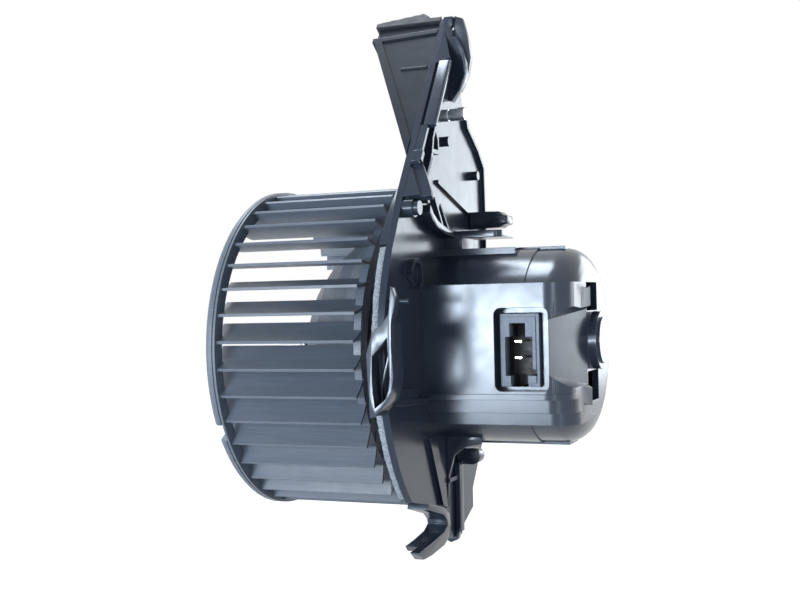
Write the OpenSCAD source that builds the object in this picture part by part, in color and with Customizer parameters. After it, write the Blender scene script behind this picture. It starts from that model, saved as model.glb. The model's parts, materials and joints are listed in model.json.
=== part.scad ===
/* [Blower wheel] */
// Diameter over the blade tips
wheel_d = 150; // [120:1:190]
// Length of a blade along the shaft at its tip
blade_len = 70; // [50:1:90]
// Number of blades
blade_count = 39; // [24:1:45]
// Thickness of a blade
blade_t = 1.3; // [0.9:0.1:2]
// Radial depth of the blade ring
blade_depth = 13; // [9:0.5:16]
// Angle from a blade's tip back to its root
blade_sweep = 8; // [5:0.5:11]
// Radius of a blade's curve
blade_curve = 36; // [20:1:60]
// Angle of the first blade tip above the near side
blade_phase = 3.78; // [0:0.1:9]
// Length of the inlet ring along the shaft
ring_w = 5; // [3:0.5:9]
// How far the inlet ring stands out past the blade tips
ring_lip = 1.5; // [1:0.25:4]
// Wall of the dome-shaped hub
hub_wall = 2.4; // [1.6:0.1:3.5]

/* [Flange] */
// Thickness of the flange plate
plate_t = 3; // [2:0.25:5]
// Thickness of the foam gasket
foam_t = 3; // [2:0.25:6]
// Width of the foam gasket
foam_w = 5.5; // [4:0.5:10]
// Height of the low rim wall on the fin
rim_h = 2; // [1:0.25:4]
// Lean of the fin's near edge from upright
fin_lean = 34.9; // [25:0.5:45]
// Depth of the air scoop from near wall to far wall
scoop_depth = 17; // [13:0.5:24]
// Reach of the scoop mouth in front of the plate
scoop_reach = 32.5; // [24:0.5:40]
// Wall of the air scoop
scoop_wall = 1.8; // [1.2:0.1:3]

/* [Motor cover] */
// Outer diameter of the round cover
cover_d = 88; // [86:1:104]
// Wall of the round cover
cover_wall = 3; // [2:0.25:4]
// Length of the cover from the flange plate to its flat end
cover_len = 65; // [64:1:80]
// Rounding of the cover's end corner
cover_round = 12.5; // [8:0.5:14]
// Distance of the near pad's face from the shaft axis
pad_reach = 46; // [45.5:0.5:56]
// Length of the connector pocket
pocket_len = 23.5; // [20:0.5:28]
// Height of the connector pocket
pocket_h = 35.4; // [34:0.5:40]
// Depth of the connector pocket
pocket_deep = 7; // [5:0.5:8]

/* [Motor] */
// Outer diameter of the steel can
can_d = 72; // [66:1:76]
// Wall of the steel can
can_wall = 1.8; // [1.2:0.1:2.5]
// Diameter of the shaft
shaft_d = 8; // [6:0.5:9]
// Diameter of the armature core
core_d = 52; // [44:1:54]
// Length of the armature core
core_len = 30; // [22:1:32]
// Diameter of the commutator
comm_d = 22; // [18:0.5:24]
// Side of a brush across the shaft
brush_w = 6; // [4:0.5:8]
// Side of a brush along the shaft
brush_l = 7; // [5:0.5:8]
// Number of armature slots
slot_count = 12; // [8:1:16]

/* [Fits] */
// Running clearance on radius of the shaft in its bushes
run_gap = 0.05; // [0.02:0.01:0.1]
// Clearance around a brush in its box
brush_gap = 0.1; // [0.05:0.05:0.3]
// Radial gap between armature and magnets
air_gap = 0.8; // [0.5:0.1:1.5]
// General clearance between neighbouring pieces
clear = 0.3; // [0.2:0.05:0.6]
// Gap from the wheel ring to the foam gasket's inner edge
pass_gap = 6.5; // [3:0.5:10]

/* [Hidden] */

wheel_r = wheel_d / 2;
root_r = wheel_r - blade_depth;
ring_r = wheel_r + ring_lip;
blade_rear = -17;
blade_front = blade_rear - blade_len;
ring_front = blade_front - 1;
foam_ri = ring_r + pass_gap;
foam_ro = foam_ri + foam_w;
plate_r = foam_ro + 0.5;
cover_r = cover_d / 2;
cover_in = cover_r - cover_wall;
cover_end = plate_t + cover_len;
sleeve_t = 0.6;
can_r = can_d / 2;
can_in = can_r - can_wall;
shaft_r = shaft_d / 2;
core_r = core_d / 2;
comm_r = comm_d / 2;
bush_r = shaft_r + 4;
can_front = -32;
can_rear = 36;
frame_rear = 58;
card_x = 39;
card_t = 4;
card_r = can_r - 3;
brush_x = 31 + (7 - brush_l) / 2;
brush_in = comm_r + brush_gap;
brush_out = brush_in + 12;
box_out = brush_out + 4.6;
pocket_x = 35.5;
pocket_z = -17.8;
pocket_floor = pad_reach - pocket_deep;
conn_x0 = 37;
conn_x1 = 54;
conn_z0 = -16;
conn_z1 = 15;
conn_base = 27;
conn_floor = 29;
scoop_z = 67;
scoop_y = -64.3;

// Outlines drawn across the shaft (y, z) and pushed along it
module along_x(x0, x1) {
  translate([x0, 0, 0]) rotate([90, 0, 90]) linear_extrude(x1 - x0) children();
}

// Outlines drawn in (x, z) and pushed from y0 to y1
module along_y(y0, y1) {
  translate([0, y1, 0]) rotate([90, 0, 0]) linear_extrude(y1 - y0) children();
}

// Turned bodies: outline of (radius, x)
module turned(n) {
  rotate([0, 90, 0]) rotate_extrude($fn = n) children();
}

// Part of a ring between two angles measured from the near side upward
module arc_ring(r0, r1, x0, x1, a0, a1) {
  translate([x0, 0, 0]) rotate([0, 90, 0]) rotate([0, 0, 270 - a1])
    rotate_extrude(angle = a1 - a0, $fn = 120) translate([r0, 0]) square([r1 - r0, x1 - x0]);
}

// Round bar along the shaft direction
module bar_x(r, x0, x1, y, z, n) {
  translate([x0, y, z]) rotate([0, 90, 0]) cylinder(h = x1 - x0, r = r, $fn = n);
}

// Box from two corners
module slab(a, b) {
  translate(a) cube([b[0] - a[0], b[1] - a[1], b[2] - a[2]]);
}

// Frame of the leaning fin edge: x along the shaft, y into the fin, z up the edge
module on_fin() {
  translate([0, scoop_y, scoop_z]) rotate([-fin_lean, 0, 0]) children();
}

// Blower wheel
ca = cos(blade_sweep);
sa = sin(blade_sweep);
chord_r = wheel_r - root_r * ca;
chord_s = root_r * sa;
chord = sqrt(chord_r * chord_r + chord_s * chord_s);
chord_dir = atan2(-chord_s, chord_r);
half_turn = asin(chord / 2 / blade_curve);
centre_dir = chord_dir - half_turn + 90;
blade_cr = root_r * ca + blade_curve * cos(centre_dir);
blade_cs = root_r * sa + blade_curve * sin(centre_dir);
root_dir = atan2(root_r * sa - blade_cs, root_r * ca - blade_cr);

module blade(a) {
  rotate([a, 0, 0]) translate([blade_front, 0, 0]) rotate([90, 0, 90]) mirror([1, 0, 0])
    translate([blade_cr, blade_cs, 0]) rotate([0, 0, root_dir])
      rotate_extrude(angle = 2 * half_turn, $fn = 96)
        translate([blade_curve - blade_t / 2, 0]) square([blade_t, blade_len]);
}

module fan_wheel() {
  color([0.27, 0.29, 0.33]) {
    difference() {
      union() {
        for (i = [0 : blade_count - 1]) blade(-(blade_phase + i * 360 / blade_count));
        turned(120) polygon([[ring_r - 6.5, ring_front], [ring_r - 1.2, ring_front],
          [ring_r, ring_front + 1.6],
          [ring_r, ring_front + ring_w - 1.6], [ring_r - 0.6, ring_front + ring_w - 1.5],
          [ring_r - 0.6, ring_front + ring_w - 1.1], [ring_r, ring_front + ring_w - 1],
          [ring_r, ring_front + ring_w], [ring_r - 6.5, ring_front + ring_w]]);
        turned(120) translate([root_r, blade_rear - 3.7]) square([4.5, 3.4]);
      }
      arc_ring(ring_r - 8, ring_r + 2, ring_front - 1, ring_front + ring_w - 1.2, -31.2, -24.8);
      // seat on the hub's rim
      bar_x(root_r, blade_rear - 8, blade_rear + 1, 0, 0, 120);
    }
  }
}

hub_line = [[8, -72], [13, -69.5], [24, -64], [35, -57.5], [44, -49.5], [50.5, -40], [55.5, -31],
  [60.5, -24]];
hub_s = root_r / 62;

module fan_hub() {
  color([0.3, 0.32, 0.36]) {
    difference() {
      turned(96) polygon(concat([for (p = hub_line) [p[0] * hub_s, p[1]]],
        [[root_r, blade_rear - 3.7], [root_r, blade_rear - 0.3], [root_r - hub_wall, blade_rear - 0.3]],
        [for (i = [len(hub_line) - 1 : -1 : 1])
          [hub_line[i][0] * hub_s - 0.7 * hub_wall, hub_line[i][1] + 0.8 * hub_wall]],
        [[10, -67], [10, -55], [shaft_r + 2, -55], [shaft_r + 2, -72]]));
      for (i = [0 : 5]) rotate([i * 60 + 30, 0, 0]) bar_x(3, -80, -50, 0, 26, 24);
    }
  }
}

module hub_insert() {
  color([0.72, 0.6, 0.34]) turned(48)
    polygon([[shaft_r, -74], [shaft_r + 1.5, -74], [shaft_r + 2, -73.5], [shaft_r + 2, -55],
      [shaft_r, -55]]);
}

module hub_clip() {
  color([0.35, 0.36, 0.38]) difference() {
    turned(48) polygon([[shaft_r, -76.6], [6.2, -76.6], [9, -74], [9, -73.2], [8.4, -72.4],
      [8, -72.4], [8, -73.8], [5.8, -75.4], [shaft_r, -75.4]]);
    for (i = [0 : 2]) rotate([i * 120, 0, 0]) slab([-77, -0.6, shaft_r + 1], [-72, 0.6, 12]);
  }
}

module balance_clips() {
  color([0.7, 0.71, 0.73]) for (k = [14, 17])
    rotate([-(blade_phase + (k + 0.7) * 360 / blade_count), 0, 0]) difference() {
      slab([ring_front - 0.7, -ring_r + 3.4, -1.6], [ring_front + ring_w + 0.7, -ring_r + 7.3, 1.6]);
      slab([ring_front - 0.05, -ring_r + 3, -3], [ring_front + ring_w + 0.05, -ring_r + 6.55, 3]);
    }
}

// Flange plate
module plate_outline() {
  difference() {
    union() {
      intersection() {
        circle(r = plate_r, $fn = 120);
        polygon([[-120, -120], [1, -120], [1, -86], [18, -79], [18, -70], [36, -48], [48, -30],
          [53, -10], [53, 14], [47, 36], [43, 46], [43, 90], [-120, 90]]);
      }
      polygon([[-73.3, 50.5], [-64.3, 67], [-42.6, 98.2], [-4.2, 153.2],
        [10, 156], [19, 146], [19, 132], [13, 120], [18, 105], [33, 96], [42, 88], [43, 46], [0, 42],
        [-50, 42]]);
    }
    circle(r = cover_in, $fn = 96);
    polygon([[-72, -62], [-58.5, -64.5], [-38.4, -69.8], [-30, -74.5], [-29, -79], [-34, -82.5],
      [-46, -84.6], [-72, -86]]);
  }
}

module flange() {
  color([0.3, 0.33, 0.38]) {
    along_x(0, plate_t) plate_outline();
    // low rim wall round the fin
    along_x(plate_t, plate_t + rim_h) polygon([[41.3, 47], [43, 47], [43, 65], [42, 88], [33, 96],
      [18, 105], [14, 114], [12.4, 114], [16.5, 104.2], [32.2, 94.6], [40.4, 87], [41.3, 65]]);
    // near edge wall below the duct cover, with its step
    on_fin() slab([plate_t - 0.5, 0.2, 24], [plate_t + 3.6, 2, 38]);
    on_fin() slab([plate_t, -0.4, 18], [plate_t + 4.4, 2, 23.2]);
    // web below the step, widening towards the plate's near corner
    on_fin() translate([0, 2, 0]) rotate([90, 0, 0]) linear_extrude(1.8)
      polygon([[plate_t - 0.6, -1.6], [10.6, -1.2], [plate_t + 1.2, 13.8], [plate_t, 14.6],
        [plate_t - 0.6, 14.6]]);
    on_fin() translate([0, 4.4, 0]) rotate([90, 0, 0]) linear_extrude(2.8)
      polygon([[plate_t - 0.6, -1.3], [15.4, -1.1], [14.5, 2], [7.4, 18.3], [plate_t - 0.6, 18.3]]);
    // wall that runs down inside the near corner
    along_x(plate_t, plate_t + 4) polygon([[-55.8, 81.6], [-53.8, 80], [-44.2, 66.6], [-43.2, 63.8],
      [-45.6, 63.8], [-46.6, 67.2]]);
    // ledge across the near corner
    along_x(plate_t, plate_t + 2.4) polygon([[-63.4, 66.6], [-46.4, 67.3], [-46, 65.6], [-64, 64.8]]);
    // small loop and a tapering tongue below it, behind the near wall
    along_x(plate_t - 0.5, plate_t + 4.6) difference() {
      polygon([[-35.6, 99], [-31.8, 93], [-31.6, 86], [-41, 86], [-39.4, 93]]);
      polygon([[-35.6, 96], [-33.2, 92.4], [-33, 88], [-39, 88], [-38, 92.4]]);
    }
    along_y(-41, -38.6) polygon([[plate_t - 0.5, 87], [plate_t + 4.6, 87], [plate_t + 4.2, 84],
      [plate_t + 1.6, 75.4], [plate_t - 0.5, 74.4]]);
    // thin diagonal rib on the fin
    along_x(plate_t, plate_t + 1.4) polygon([[-24.6, 75.8], [20.4, 63.9], [20.4, 62.1], [-25, 74.2]]);
    // two short pegs on the fin
    bar_x(2.3, plate_t, plate_t + 4, -16, 94, 32);
    bar_x(2.2, plate_t, plate_t + 4, 25, 82, 32);
    // boss with a stepped pin in the near corner
    bar_x(4, plate_t, plate_t + 4.6, -63, 60.5, 32);
    bar_x(3.2, plate_t + 4.6, plate_t + 6.8, -63, 60.5, 32);
    // half-round arch
    difference() {
      arc_boss(7, plate_t, plate_t + 3.4);
      arc_boss(5.2, plate_t + 1, plate_t + 4);
    }
    // small rod near the rim
    bar_x(1.1, plate_t, plate_t + 7, -78.2, 21.4, 24);
    // raised band under the cover
    along_x(plate_t, plate_t + 1.8) polygon([[-44.2, -38.6], [-34.4, -41.6], [-22.2, -72.9],
      [-28.7, -70.4]]);
    // ledge and block on the plate in line with the cover's ledge
    along_x(plate_t - 0.5, plate_t + 3.2) polygon([[-84, -21], [-84, -18.4],
      [-pad_reach - 1, -20.8], [-pad_reach - 1, -23.2]]);
    along_x(plate_t - 0.5, plate_t + 2.6) polygon([[-83.6, -19], [-83.6, -14], [-60, -16.2],
      [-60, -21]]);
    // forward rim on the upper near edge
    along_x(-foam_t - 0.3, 1) intersection() {
      difference() {
        circle(r = plate_r - 0.2, $fn = 120);
        circle(r = plate_r - 2, $fn = 120);
      }
      sector(30.5, 60);
    }
  }
}

// Wedge from the axis between two angles measured from the near side upward
module sector(a0, a1) {
  polygon(concat([[0, 0]], [for (i = [0 : 4]) let(a = a0 + (a1 - a0) * i / 4)
    [-140 * cos(a), 140 * sin(a)]]));
}

module arc_boss(r, x0, x1) {
  along_x(x0, x1) translate([-58, 32.5]) rotate([0, 0, -35]) intersection() {
    circle(r = r, $fn = 48);
    translate([-10, -3]) square([20, 20]);
  }
}

module foam_gasket() {
  color([0.42, 0.43, 0.46]) {
    along_x(-foam_t, 0) difference() {
      intersection() {
        circle(r = foam_ro, $fn = 120);
        union() {
          sector(-45.5, 59);
          sector(72, 100);
          sector(-97, -71.5);
        }
      }
      circle(r = foam_ri, $fn = 120);
      intersection() {
        difference() {
          circle(r = plate_r + 2, $fn = 120);
          circle(r = plate_r - 2.3, $fn = 120);
        }
        sector(30.2, 60.5);
      }
    }
  }
}

// Air scoop on the front of the fin
scoop_tip = 21;
scoop_top = 98.5;

module scoop_wedge(a, b, tip, reach) {
  translate([0, b, 0]) rotate([90, 0, 0]) linear_extrude(b - a)
    polygon([[0, tip], [0, scoop_top], [-reach, scoop_top - 2.3]]);
}

module air_scoop() {
  color([0.27, 0.3, 0.35]) on_fin() {
    difference() {
      union() {
        scoop_wedge(0.4, scoop_depth, scoop_tip, scoop_reach);
        translate([0, scoop_depth + 1, 0]) rotate([90, 0, 0]) linear_extrude(scoop_depth + 1.6)
          polygon([[0, scoop_tip], [0, scoop_tip + 9.5], [-scoop_reach + 3.9, scoop_top - 2],
            [-scoop_reach, scoop_top - 2.3]]);
        slab([-scoop_reach + 1.2, 1.4, scoop_top - 3], [0, scoop_depth - 0.6, scoop_top + 5.5]);
        translate([0, scoop_depth + 1, 0]) rotate([90, 0, 0]) linear_extrude(scoop_depth + 1.4)
          polygon([[0, scoop_top - 2.6], [0, scoop_top], [-scoop_reach, scoop_top - 2.3],
            [-scoop_reach, scoop_top - 4.6]]);
      }
      translate([0, scoop_depth - 1.9 - 0.4, 0]) rotate([90, 0, 0])
        linear_extrude(scoop_depth - 3.8 - 1.1)
          polygon([[-scoop_wall, scoop_tip + 10], [-scoop_wall, scoop_top + 6],
            [-scoop_reach + 3.2, scoop_top + 6], [-scoop_reach + 3.2, scoop_top - 5]]);
    }
    // two shallow stiffening ribs on the near wall
    slab([-14, -0.1, 74], [-1, 0.4, 75]);
  }
}

module mouth_seal() {
  color([0.24, 0.25, 0.28]) on_fin() difference() {
    union() {
      slab([-scoop_reach - 0.5, -0.4, scoop_top + 5.5], [0, scoop_depth + 1, scoop_top + 8.5]);
      translate([0, scoop_depth + 1, 0]) rotate([90, 0, 0]) linear_extrude(scoop_depth + 1.4)
        polygon([[-scoop_reach - 0.5, scoop_top + 8.5], [-8, scoop_top + 8.5], [-6, scoop_top + 9.2],
          [-9.5, scoop_top + 12], [-13, scoop_top + 11.4]]);
    }
    slab([-scoop_reach + 3.2, 3.4, scoop_top], [-scoop_wall, scoop_depth - 2.3, scoop_top + 15]);
  }
}

// Duct cover on the rear of the fin
module duct_cover() {
  color([0.33, 0.37, 0.42]) {
    // side wall on a recessed foot
    on_fin() slab([plate_t, 1.4, 38.3], [plate_t + 2, 3, 77.4]);
    on_fin() slab([plate_t + 1.5, 0, 38.3], [plate_t + 6, 2.4, 77.4]);
    on_fin() slab([plate_t + 5.5, 0.5, 38.3], [plate_t + 7, 1.9, 77.4]);
    // flush triangle above the side wall
    on_fin() translate([0, 2.4, 0]) rotate([90, 0, 0]) linear_extrude(2.4)
      polygon([[plate_t, 77], [plate_t + 6.2, 78.8], [plate_t, 98]]);
    // thin skin between the side wall and the bulge
    along_x(plate_t, plate_t + 1.2) polygon([[-38.8, 100.8], [-9.6, 142.6], [-6.5, 142.6], [-6.5, 114],
      [-16, 114], [-32, 101]]);
    // D-shaped bulge with a raised rim
    along_y(-10, -6.5) polygon([[plate_t, 114.6], [6.5, 113], [10.6, 118.1], [13.7, 124.8],
      [13.8, 130.7], [12.5, 137.3], [9.7, 142.7], [7.8, 143], [plate_t, 139.6]]);
    along_y(-10.7, -10) polygon([[6.5, 113], [10.6, 118.1], [13.7, 124.8], [13.8, 130.7],
      [12.5, 137.3], [9.7, 142.7], [8.4, 142.9], [11.3, 136.8], [12.7, 130.5], [12.6, 125],
      [9.6, 118.7], [5.6, 113.3]]);
    // outer strap
    along_y(-6.5, -4) polygon([[plate_t, 116], [10, 118.2], [13.7, 125.7], [14.9, 133.4], [14, 141],
      [12.7, 146.8], [11.2, 152], [7.4, 153.4], [7, 147], [plate_t, 146]]);
    // upright block with a groove
    difference() {
      slab([plate_t, -9, 139.4], [plate_t + 4.2, -4, 152.8]);
      translate([plate_t + 4.9, -10, 147.4]) rotate([-90, 0, 0]) cylinder(h = 8, r = 1.6, $fn = 24);
    }
  }
}

module latch_pin() {
  color([0.6, 0.64, 0.7]) {
    bar_x(2.8, plate_t, plate_t + 2, -10.5, 106.8, 32);
    bar_x(2.3, plate_t + 2, plate_t + 2.8, -10.5, 106.8, 32);
    bar_x(2.8, plate_t + 2.8, plate_t + 10, -10.5, 106.8, 32);
  }
}

module shelf_arm() {
  color([0.28, 0.3, 0.35]) {
    // shelf with a rounded tip
    translate([0, 0, 49.8]) linear_extrude(3.2) union() {
      translate([plate_t, -12]) square([22.5, 24]);
      translate([25.5, -8.5]) circle(r = 3.5, $fn = 32);
      translate([25.5, 8.5]) circle(r = 3.5, $fn = 32);
      translate([25.5, -8.5]) square([3.5, 17]);
    }
    // elbow block down to the cover
    slab([plate_t, -13, cover_r + 0.6], [11, 5, 51]);
    // curved wall on the plate
    along_x(plate_t, plate_t + 5) polygon([[-45.4, 63], [-41.7, 59.4], [-35.7, 56.2], [-25.6, 54.1],
      [-13, 53], [-13, 50], [-26.4, 51.2], [-36.8, 53.4], [-43.2, 56.6], [-46.4, 59.6]]);
    // growing ribs
    along_y(-31, -29.4) polygon([[plate_t, 55], [plate_t + 5, 55], [plate_t + 1.6, 67.5],
      [plate_t, 67.5]]);
    along_y(-19.8, -18.2) polygon([[plate_t, 53.4], [plate_t + 4, 53.4], [plate_t, 65.5]]);
  }
}

module side_rail() {
  color([0.3, 0.33, 0.38]) along_y(21, 31) polygon([[plate_t, 55.6], [19, 56], [20.5, 57.4],
    [22.5, 57.4], [22.5, 61.6], [20.5, 62], [18, 64], [plate_t, 64]]);
}

module mounting_ear() {
  color([0.36, 0.39, 0.44]) difference() {
    union() {
      along_y(-96, -85) difference() {
        polygon([[-1.8, 0.9], [0.8, 8.8], [2.8, 11.2], [4.9, 11.8], [8.1, 16.6], [9.3, 27.1],
          [11, 22.2], [10.8, 20], [9.2, 13.5], [8.9, 3.5], [9.6, -8.7], [8.8, -13.5], [7.3, -17.9],
          [1.4, -24.1], [-0.8, -24.6], [-1, -16.7], [-1.5, -8.3]]);
        polygon([[0.6, -0.2], [3.8, 3.1], [7.3, 7.4], [7.4, 3], [8.1, -8.6], [7.3, -13.6],
          [6.2, -16.9], [1.4, -20.8], [0.7, -14.5], [0.4, -7]]);
      }
      // upright and slanting ribs inside the ear
      along_y(-89.3, -85) polygon([[0.5, 2], [1.1, 2], [2.2, -20.6], [1.6, -20.9]]);
      along_y(-89.3, -85) polygon([[1.4, -12.8], [2.1, -12.8], [7.4, 7.6], [6.7, 7.6]]);
    }
    bar_x(plate_r, -20, plate_t, 0, 0, 120);
    slab([-5, -91, 12.6], [15, -70, 30]);
  }
}

module lock_hook() {
  color([0.34, 0.37, 0.42]) {
    difference() {
      union() {
        along_x(-0.5, 9) polygon([[-58.5, -64.6], [-39.4, -69.4], [-33, -73.2], [-31.6, -77.6],
          [-34.6, -81.6], [-46, -83.8], [-60, -84.6], [-62.4, -82.2], [-52.2, -81.4], [-40.4, -80],
          [-35.4, -77.6], [-36, -75.4], [-40.6, -72.2], [-59.4, -67]]);
        along_x(5, 9) polygon([[-33, -79.8], [-34.6, -83.6], [-40, -85.6], [-56, -86.8],
          [-65.6, -86.6], [-71, -82.8], [-52.2, -81.4], [-40.4, -80]]);
      }
      along_x(-5, plate_t) plate_outline();
      arc_ring(foam_ri - 1, foam_ro + 0.3, -foam_t, 0, -46, 0);
    }
  }
}

module claw() {
  color([0.28, 0.3, 0.35]) {
    // gusset between plate and cover
    difference() {
      along_y(-18.2, -16) polygon([[plate_t, -73.4], [3.9, -58.7], [6.6, -49.6], [12, -45.6],
        [19.7, -44], [19.7, -40], [plate_t, -40]]);
      bar_x(cover_r + sleeve_t, plate_t - 1, 40, 0, 0, 96);
    }
    slab([plate_t, -18.2, -62], [plate_t + 1.4, -1, -60]);
    // upright bar with a claw tip
    slab([plate_t, -8, -86.4], [plate_t + 2.6, -3, -54]);
    difference() {
      along_y(-8.6, -4.6) polygon([[-2.2, -90], [plate_t, -85.4], [plate_t + 2.6, -84],
        [3.8, -90], [0.6, -91.4]]);
      bar_x(plate_r + clear, -10, plate_t, 0, 0, 120);
    }
    // level peg with a round end
    along_y(-4.5, 3) union() {
      translate([plate_t, -55.4]) square([7.6, 7.4]);
      translate([plate_t + 7.6, -51.7]) circle(r = 3.7, $fn = 48);
    }
  }
}

// Motor cover
module cover_solid(g, x0) {
  turned(96) union() {
    translate([0, x0]) square([cover_r - g, cover_end - cover_round - x0]);
    translate([0, x0]) square([cover_r - cover_round, cover_end - g - x0]);
    translate([cover_r - cover_round, cover_end - cover_round]) circle(r = cover_round - g);
  }
}

module pad_side(y0) {
  union() {
    translate([plate_t, -y0]) square([cover_len - 11, y0 - 10]);
    translate([cover_end - 11, 11 - y0]) square([11, y0 - 21]);
    translate([cover_end - 11, 11 - y0]) circle(r = 11, $fn = 64);
  }
}

ramp_y0 = pad_reach - 1;
ramp_x0 = pocket_x + pocket_len;
ramp_dir = atan2(ramp_y0 - 14, cover_end - ramp_x0);

module ramp_frame() {
  translate([ramp_x0, -ramp_y0, 0]) rotate([0, 0, ramp_dir]) rotate([90, 0, 0]) children();
}

module cover_whole() {
  difference() {
    union() {
      difference() {
        union() {
          cover_solid(0, plate_t);
          // sleeve round the front of the barrel
          bar_x(cover_r + sleeve_t, plate_t, 46, 0, 0, 96);
          // near pad
          translate([0, 0, -20.5]) linear_extrude(48.5) pad_side(pad_reach);
          // bead and steps under the pad
          translate([0, 0, -21.4]) linear_extrude(2.4) pad_side(pad_reach + 1);
          translate([0, 0, -27.5]) linear_extrude(8) pad_side(pad_reach - 5);
          translate([0, 0, -33]) linear_extrude(8) pad_side(pad_reach - 9);
          // top rail, top band and lower band
          slab([plate_t, -16, 38], [37, -8, 44.6]);
          slab([plate_t, -8, 40], [cover_end - 10, 8, cover_r + sleeve_t]);
          slab([plate_t, -8, -cover_r - sleeve_t], [cover_end - 10, 8, -40]);
          // rear boss
          bar_x(13, cover_end - 2, cover_end + 4, 0, 2, 64);
          bar_x(10.5, cover_end + 4, cover_end + 5, 0, 2, 64);
        }
        cover_solid(cover_wall, plate_t - 1);
      }
      // pocket tub and ramp skin
      slab([pocket_x - 2, -pad_reach + 1, pocket_z - 2],
        [ramp_x0 + 2, -pocket_floor + 2.4, pocket_z + pocket_h + 2]);
      ramp_frame() translate([0, 0, 0]) linear_extrude(2.4)
        polygon([[0, -19], [0, 19.5], [32, 26], [32, -26]]);
    }
    // pocket with rounded corners
    translate([0, -pocket_floor, 0]) rotate([90, 0, 0]) linear_extrude(30) union() {
      translate([pocket_x + 3, pocket_z]) square([pocket_len - 6, pocket_h]);
      translate([pocket_x, pocket_z + 3]) square([pocket_len, pocket_h - 6]);
      for (i = [0, 1]) for (j = [0, 1])
        translate([pocket_x + 3 + i * (pocket_len - 6), pocket_z + 3 + j * (pocket_h - 6)])
          circle(r = 3, $fn = 32);
    }
    // ramp beside the pocket
    ramp_frame() translate([0, 0, -20]) linear_extrude(20)
      polygon([[0.01, -17], [0.01, 17.5], [31.5, 24], [31.5, -23]]);
    // hole for the connector insert
    slab([conn_x0 - clear, -pad_reach - 5, conn_z0 - clear],
      [conn_x1 + clear, -20, conn_z1 + clear]);
    // two slots in the flat end
    slab([cover_end - 10, -13, 15.4], [cover_end + 1, 8, 28]);
    slab([cover_end - 10, -13, -25], [cover_end + 1, 8, -11.4]);
  }
}

// Part of the cover on the near side of the pocket's floor
module pad_zone() {
  slab([0, -pad_reach - 10, -60], [cover_end + 20, -pocket_floor, 60]);
}

// Flat end of the cover beside the ramp
module cap_zone() {
  intersection() {
    bar_x(cover_r - cover_round - 0.5, cover_end - cover_wall, cover_end + 20, 0, 0, 96);
    slab([cover_end - cover_wall, -13.5, -60], [cover_end + 20, 60, 60]);
  }
}

module motor_cover() {
  color([0.36, 0.4, 0.46]) difference() {
    cover_whole();
    pad_zone();
    cap_zone();
  }
}

module cover_pad() {
  color([0.36, 0.4, 0.46]) intersection() {
    cover_whole();
    pad_zone();
  }
}

module cover_cap() {
  color([0.36, 0.4, 0.46]) intersection() {
    cover_whole();
    cap_zone();
  }
}

// Connector
module connector_insert() {
  color([0.5, 0.53, 0.58]) difference() {
    union() {
      slab([conn_x0, -pocket_floor - 2.5, conn_z0], [conn_x1, -conn_base, conn_z1]);
      slab([conn_x0 + 1.4, -pocket_floor - 3.1, conn_z0 + 1.4],
        [conn_x1 - 1.4, -pocket_floor - 2.5, conn_z1 - 1.4]);
    }
    slab([41.2, -60, 5.2], [48.2, -conn_floor, 11]);
    slab([39.2, -60, -11.4], [51.2, -conn_floor, 5.2]);
    slab([41.4, -60, -17 + 0.4], [49, -conn_floor, -11.4]);
    slab([51.2, -60, -11.4], [53, -conn_floor, -8.6]);
    for (z = [3.2, -3.8]) slab([43 - 0.02, -60, z - 0.42], [46.02, -20, z + 0.42]);
  }
}

module terminals() {
  color([0.8, 0.74, 0.6]) for (z = [3.2, -3.8]) {
    slab([43, -40.2, z - 0.4], [46, -22, z + 0.4]);
    slab([43, -25, z - 1.4], [43.8, -20, z + 1.4]);
  }
}

// Motor
module motor_can() {
  color([0.62, 0.64, 0.66]) turned(96) polygon([[bush_r, can_front - 4], [bush_r + 1.8, can_front - 4],
    [bush_r + 1.8, can_front], [can_r - 3, can_front], [can_r, can_front + 3], [can_r, can_rear],
    [can_in, can_rear], [can_in, can_front + 3.8], [can_in - 2, can_front + can_wall],
    [bush_r, can_front + can_wall]]);
}

magnet_in = core_r + air_gap;

module field_magnets() {
  color([0.2, 0.2, 0.21]) {
    arc_ring(magnet_in, can_in, -18, 20, -62, 62);
    arc_ring(magnet_in, can_in, -18, 20, 118, 242);
  }
}

module magnet_clips() {
  color([0.66, 0.67, 0.69]) {
    arc_ring(can_in - 1.2, can_in, -16, 18, 63.5, 116.5);
    arc_ring(can_in - 1.2, can_in, -16, 18, 243.5, 296.5);
    for (a = [63.5, 243.5]) arc_ring(can_in - 5, can_in, -16, 18, a, a + 1.6);
    for (a = [114.9, 294.9]) arc_ring(can_in - 5, can_in, -16, 18, a, a + 1.6);
  }
}

module bush(x0, x1) {
  turned(48) polygon([[shaft_r + run_gap, x0], [bush_r - 0.6, x0], [bush_r, x0 + 0.6],
    [bush_r, x1 - 0.6], [bush_r - 0.6, x1], [shaft_r + run_gap, x1]]);
}

module front_bush() {
  color([0.66, 0.5, 0.32]) bush(can_front - 4, can_front + can_wall);
}

module front_retainer() {
  color([0.7, 0.71, 0.73]) turned(48) translate([bush_r - 2, can_front + can_wall]) square([8, 0.8]);
}

module rear_bush() {
  color([0.66, 0.5, 0.32]) bush(46, 54);
}

module rear_retainer() {
  color([0.7, 0.71, 0.73]) turned(48) translate([bush_r - 2, 45.2]) square([4.4, 0.8]);
}

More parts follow.
